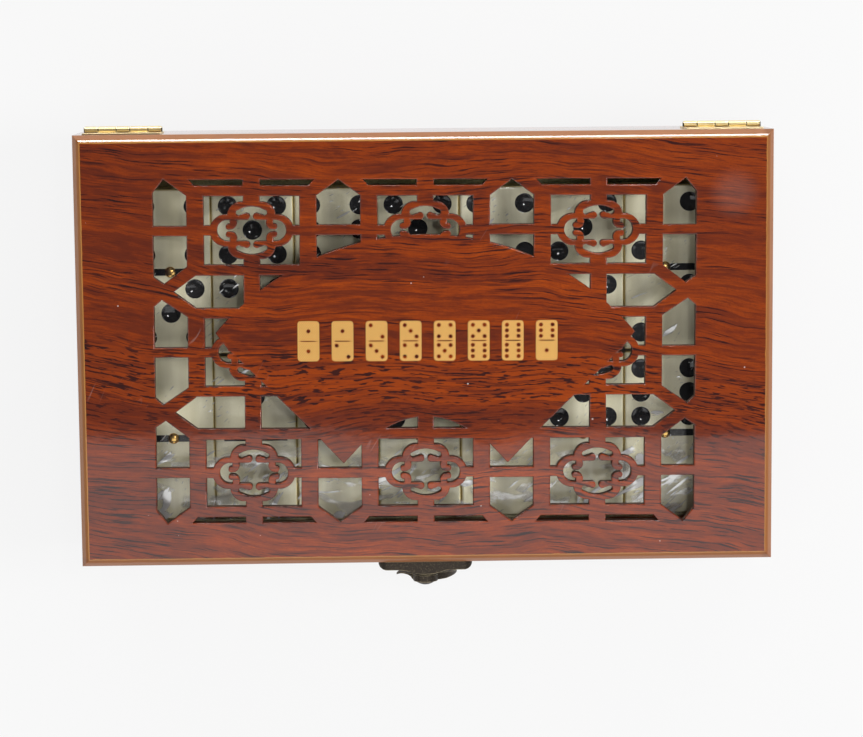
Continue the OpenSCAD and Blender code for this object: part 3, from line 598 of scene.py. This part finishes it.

# %% [markdown]
# ## Shrink film
#
# The set is new, so it is still sealed in clear film. The film is stretched flat over the tiles where it
# is tight and gathers in low creases near the front. It starts as a grid, and every point is lifted by
# seeded noise: a gentle swell, plus sharp ridges made by folding the noise over. The sides hang from the
# grid's border. The film is thin, so it lets nearly everything through. Along the creases it carries
# painted glints: white slanting strokes, cut from stirred and stretched noise, more of them at the front
# and in two corners, and a faint painted haze of reflection in the front rows. Each crease leans a little
# towards the front, so that it mirrors the large lamp there. Over the head of each spinner pin the film
# stands up like a low tent.

# %% Film material
film, tree, shader = new_material("clear_film", Roughness=0.15, Specular_IOR_Level=1.0)
place = object_place(tree)
stir = node(tree, "TexNoise", {"Vector": place, "Scale": 34.0, "Detail": 1.0}).outputs["Color"]
stirred = node(tree, "VectorMath", {0: place, 1: node(tree, "VectorMath", {
    0: stir, 1: (0.022, 0.022, 0)}, operation="MULTIPLY").outputs[0]}, operation="ADD").outputs[0]
column, row = node(tree, "SeparateXYZ", {0: place}).outputs[:2]
front, back = step(tree, row, -28 * MM, -36 * MM), step(tree, row, -30 * MM, 50 * MM)
by_left_pin = math(tree, "MULTIPLY", step(tree, column, -58 * MM, -74 * MM), math(
    tree, "SUBTRACT", 1.0, front))
corners = math(tree, "MULTIPLY", math(tree, "MAXIMUM", by_left_pin, step(tree, column, 58 * MM, 74 * MM)),
               step(tree, row, -14 * MM, -24 * MM))
STROKE_SLANT = radians(55)
turned = node(tree, "Mapping", {"Vector": stirred, "Rotation": (0, 0, STROKE_SLANT)}).outputs[0]
broad = stretched_noise(tree, turned, (430, 80, 0), 1.0)
hairs = stretched_noise(tree, turned, (1900, 130, 0), 2.0)
strokes = math(tree, "ADD", math(tree, "MULTIPLY", broad, 0.8), math(tree, "MULTIPLY", hairs, 0.2))
gathered = math(tree, "ADD", math(tree, "MULTIPLY", front, 0.085), math(tree, "MULTIPLY", corners, 0.05))
# Painted glints: past the threshold the film turns white and nearly opaque.
large = step(tree, math(tree, "ADD", strokes, gathered), 0.68, 0.715)
small = math(tree, "MULTIPLY",
             step(tree, stretched_noise(tree, turned, (1700, 330, 0), 1.0), 0.66, 0.74),
             step(tree, stretched_noise(tree, place, (75, 75, 0), 1.0), 0.52, 0.58))
glint = math(tree, "MAXIMUM", large, small)
# Painted reflection: a faint white haze over the front rows.
painted_veil = math(tree, "MULTIPLY", front,
            step(tree, stretched_noise(tree, stirred, (110, 240, 0), 2.0), 0.52, 0.60))
painted_whiteness = math(tree, "ADD", math(tree, "MULTIPLY", glint, 0.92), math(tree, "MULTIPLY", painted_veil, 0.34))
tree.links.new(math(tree, "ADD", 0.012, painted_whiteness, clamp=True), shader.inputs["Alpha"])
shine = math(tree, "MAXIMUM", glint, painted_veil)
tree.links.new(math(tree, "MULTIPLY", shine, 0.30), shader.inputs["Metallic"])
slope = math(tree, "MULTIPLY", shine, math(tree, "ADD", 0.02, math(tree, "MULTIPLY", back, 0.10)))
lean = node(tree, "VectorMath", {0: (0, -1, 0), "Scale": slope}, operation="SCALE").outputs[0]
upright = node(tree, "NewGeometry").outputs["Normal"]
flank = node(tree, "VectorMath", {0: upright, 1: lean}, operation="ADD").outputs[0]
leaning = node(tree, "VectorMath", {0: flank}, operation="NORMALIZE").outputs[0]
tree.links.new(leaning, shader.inputs["Normal"])
# The white of the painted glints and haze.
shader.inputs["Base Color"].default_value = (0.97, 0.97, 0.96, 1)

# %% Film sheet
FILM_STEP, FILM_SKIN, CREASE_SEED = 1.2 * MM, 0.03 * MM, 1
HELD_AT_EDGE, TENT_FOOT, TENT_SHARE = 4 * MM, 5 * MM, 1.4
low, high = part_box("shrink_film")
FILM_REST = high.z - 0.1 * MM
TENT_H = HEAD_H - 0.12 * MM
bm = bmesh.new()
bmesh.ops.create_grid(bm, x_segments=int((high.x - low.x) / FILM_STEP),
                      y_segments=int((high.y - low.y) / FILM_STEP), size=0.5)
bmesh.ops.scale(bm, vec=(high.x - low.x, high.y - low.y, 1), verts=bm.verts)
bmesh.ops.translate(bm, vec=((low.x + high.x) / 2, (low.y + high.y) / 2, FILM_REST), verts=bm.verts)
noise.seed_set(CREASE_SEED)


def film_lift(x, y):
    front = min(1.0, max(0.0, (0.5 * (low.y + high.y) - y) / (0.4 * (high.y - low.y))))
    swell = noise.noise(Vector((x * 55, y * 40, 2.0)))
    skew = Vector((x * 90 + y * 60, y * 150 - x * 40, 7.0))
    fold = (1 - abs(noise.noise(skew + 1.3 * noise.noise_vector(skew * 0.6)))) ** 9
    edge = min(x - low.x, high.x - x, y - low.y, high.y - y)
    hold = min(1.0, max(0.0, edge / HELD_AT_EDGE))
    crease = hold * MM * ((0.10 + 0.14 * front) * (swell + 0.6) + (0.10 + 0.40 * front) * fold)
    nearest = min((Vector(head) - Vector((x, y))).length for head in heads)
    tent = TENT_H * min(1.0, max(0.0, TENT_SHARE - nearest / TENT_FOOT))
    return max(crease, tent)

for vert in bm.verts:
    vert.co.z += max(0.0, film_lift(vert.co.x, vert.co.y))
print("film at rest", round((FILM_REST - faces_up) / MM, 3), "mm over the faces")
rim = [e for e in bm.edges if e.is_boundary]
sides = bmesh.ops.extrude_edge_only(bm, edges=rim)["geom"]
hanging = [v for v in sides if isinstance(v, bmesh.types.BMVert)]
for vert in hanging:
    vert.co.z = low.z
bmesh.ops.edgeloop_fill(bm, edges=[e for e in sides if isinstance(e, bmesh.types.BMEdge)])
bmesh.ops.recalc_face_normals(bm, faces=bm.faces)
wrap = finish_mesh(bm, "shrink_wrap", "base", [film])
skin = wrap.modifiers.new("film_thickness", "SOLIDIFY")
skin.thickness, skin.offset = FILM_SKIN, -1
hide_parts("shrink_film")
print("film", len(wrap.data.polygons), "faces, highest",
      round(max(v.co.z for v in wrap.data.vertices) / MM, 2), "mm")

# %% [markdown]
# ## Gold foil
#
# A row of little domino faces is stamped across the middle of the lid in gold foil. Each is a flat
# outline with holes for its pips and its divider, so the wood shows through them. A filled curve makes
# such a shape directly: loops inside a loop become holes. The foil has a fine diagonal hatch, pressed in
# by the stamp.

# %% Foil material
foil, tree, shader = new_material("gold_foil", Metallic=0.55, Roughness=0.38)
place = object_place(tree)
HATCH_SLANT = radians(38)
turned = node(tree, "Mapping", {"Vector": place, "Rotation": (0, 0, HATCH_SLANT),
                                "Scale": (1 / MM,) * 3}).outputs[0]
hatch = node(tree, "TexWave", {"Vector": turned, "Scale": 0.62, "Distortion": 0.6, "Detail": 1.0,
                               "Detail Scale": 1.0}, wave_type="BANDS", bands_direction="X").outputs["Fac"]
tree.links.new(blend(tree, step(tree, hatch, 0.15, 0.75), (0.40, 0.19, 0.045, 1), (0.78, 0.46, 0.13, 1)),
               shader.inputs["Base Color"])
tree.links.new(node(tree, "Bump", {"Height": hatch, "Strength": 0.4, "Distance": 0.05 * MM}).outputs[0],
               shader.inputs["Normal"])

# %% Foil dominoes
FACE_W, FACE_H, CORNER, PIP_R = 6.5, 12.1, 1.0, 0.62
DIVIDER = (4.6, 0.34)
PIP_DX, PIP_DY = 1.75, 1.7
FOIL_T = 0.03
ROW = ((1, 1), (1, 2), (2, 3), (3, 4), (4, 5), (5, 6), (6, 6), (6, 1))
ROW_X, ROW_Y, PITCH, ROW_TURN = 0.5, 2.75, 10.2, radians(-0.37)
PIPS = {1: ((0, 0),), 2: ((-1, 1), (1, -1)), 3: ((-1, 1), (0, 0), (1, -1)),
        4: ((-1, 1), (1, 1), (-1, -1), (1, -1)), 5: ((-1, 1), (1, 1), (0, 0), (-1, -1), (1, -1)),
        6: ((-1, 1), (1, 1), (-1, 0), (1, 0), (-1, -1), (1, -1))}


def ring(x, y, radius, steps=20):
    return [(x + radius * cos(2 * pi * i / steps), y + radius * sin(2 * pi * i / steps))
            for i in range(steps)]


def rounded(x, y, width, height, radius, steps=6):
    points = []
    for corner, (sx, sy) in enumerate(((1, 1), (-1, 1), (-1, -1), (1, -1))):
        cx, cy = x + sx * (width / 2 - radius), y + sy * (height / 2 - radius)
        for i in range(steps + 1):
            turn = (corner + i / steps) * pi / 2
            points.append((cx + radius * cos(turn), cy + radius * sin(turn)))
    return points


def filled_curve(name, loops, thickness):
    curve = bpy.data.curves.new(name, "CURVE")
    curve.dimensions, curve.fill_mode, curve.extrude = "2D", "BOTH", thickness / 2
    for loop in loops:
        spline = curve.splines.new("POLY")
        spline.points.add(len(loop) - 1)
        spline.use_cyclic_u = True
        for point, (x, y) in zip(spline.points, loop):
            point.co = (x, y, 0, 1)
    holder = bpy.data.objects.new(name, curve)
    bpy.context.scene.collection.objects.link(holder)
    mesh = bpy.data.meshes.new_from_object(holder)
    bpy.data.objects.remove(holder)
    return mesh

loops = []
for index, halves in enumerate(ROW):
    x = (index - (len(ROW) - 1) / 2) * PITCH
    loops.append(rounded(x, 0, FACE_W, FACE_H, CORNER))
    loops.append(rounded(x, 0, DIVIDER[0], DIVIDER[1], DIVIDER[1] / 2 - 0.01, 3))
    for half, count in zip((1, -1), halves):
        loops += [ring(x + PIP_DX * px, half * FACE_H / 4 + PIP_DY * py, PIP_R) for px, py in PIPS[count]]
stamp = filled_curve("foil", loops, FOIL_T)
bm = bmesh.new()
bm.from_mesh(stamp)
bmesh.ops.remove_doubles(bm, verts=bm.verts, dist=0.0005)
place = (Matrix.Rotation(ROW_TURN, 4, "Z") @ Matrix.Translation((ROW_X, ROW_Y, top.z / MM - FOIL_T * 0.3)))
bmesh.ops.transform(bm, matrix=Matrix.Scale(MM, 4) @ place, verts=bm.verts)
foil_row = finish_mesh(bm, "gold_foil_row", "lid", [foil])
print("foil", len(loops), "loops", len(foil_row.data.polygons), "faces")

# %% [markdown]
# ## Stage
#
# The case lies on a pale floor. A large soft lamp in front lights the fretwork and is what the lacquer
# mirrors in its lower third. A low strip behind draws the bright line along the back rim, a small lamp
# beside the camera puts a point of light in each pip, and the sky is brighter towards the horizon. A soft
# lamp on the right shades each window from its left edge to its right. The lacquer doesn't mirror it.

# %% Floor
floor_paint, tree, shader = new_material("studio_floor", Roughness=0.9, Specular_IOR_Level=0.1)
seen = node(tree, "LightPath").outputs
looked_at = math(tree, "ADD", seen["Is Camera Ray"], math(
    tree, "ADD", seen["Is Glossy Ray"], seen["Is Transmission Ray"]), clamp=True)
tree.links.new(blend(tree, looked_at, (0.88, 0.88, 0.88, 1), (0.06, 0.06, 0.06, 1)),
               shader.inputs["Base Color"])
shader.inputs["Emission Color"].default_value = (1, 1, 1, 1)
FLOOR_GLOW, FLOOR_HALF, FLOOR_Z = 0.855, 6, -0.1 * MM
tree.links.new(math(tree, "MULTIPLY", looked_at, FLOOR_GLOW), shader.inputs["Emission Strength"])
bm = bmesh.new()
bmesh.ops.create_grid(bm, x_segments=1, y_segments=1, size=FLOOR_HALF)
bmesh.ops.translate(bm, vec=(0, 0, FLOOR_Z), verts=bm.verts)
floor_mesh = bpy.data.meshes.new("floor")
bm.to_mesh(floor_mesh)
bm.free()
floor_mesh.materials.append(floor_paint)
floor = bpy.data.objects.new("floor", floor_mesh)
bpy.context.scene.collection.objects.link(floor)

# %% Lamps and sky
def soft_lamp(name, place, aim, size, brightness, mirrored=True):
    data = bpy.data.lights.new(name, "AREA")
    data.shape, data.size, data.size_y = "RECTANGLE", size[0], size[1]
    data.energy = brightness * pi * size[0] * size[1]
    lamp = bpy.data.objects.new(name, data)
    lamp.location = place
    lamp.rotation_euler = (Vector(aim) - Vector(place)).to_track_quat("-Z", "Y").to_euler()
    lamp.visible_camera, lamp.visible_glossy = False, mirrored
    bpy.context.scene.collection.objects.link(lamp)

soft_lamp("front_softbox", place=(0, -0.745, 0.84), aim=(0, -0.745, 0), size=(1.9, 1.2),
          brightness=1.45)
soft_lamp("key_lamp", place=(0.14, 0.15, 0.88), aim=(0, 0, 0), size=(0.07, 0.07), brightness=48)
soft_lamp("side_softbox", place=(0.85, 0.05, 0.80), aim=(0, 0, 0), size=(0.5, 0.5), brightness=15,
          mirrored=False)
soft_lamp("back_strip", place=(0, 1.7, 0.62), aim=(0, 0, 0), size=(2.4, 0.09), brightness=40)
print("four lamps")

world = bpy.data.worlds.new("sky")
bpy.context.scene.world = world
world.use_nodes = True
tree = world.node_tree
rise = node(tree, "SeparateXYZ", {0: node(tree, "TexCoord").outputs["Generated"]}).outputs[2]
wall = blend(tree, step(tree, rise, 0.0, 0.6), (0.80, 0.80, 0.80, 1), (0.32, 0.32, 0.32, 1))
tree.links.new(blend(tree, step(tree, rise, 0.6, 0.95), wall, (0.05, 0.05, 0.05, 1)),
               tree.nodes["Background"].inputs["Color"])
bpy.context.scene.view_settings.view_transform = "Standard"
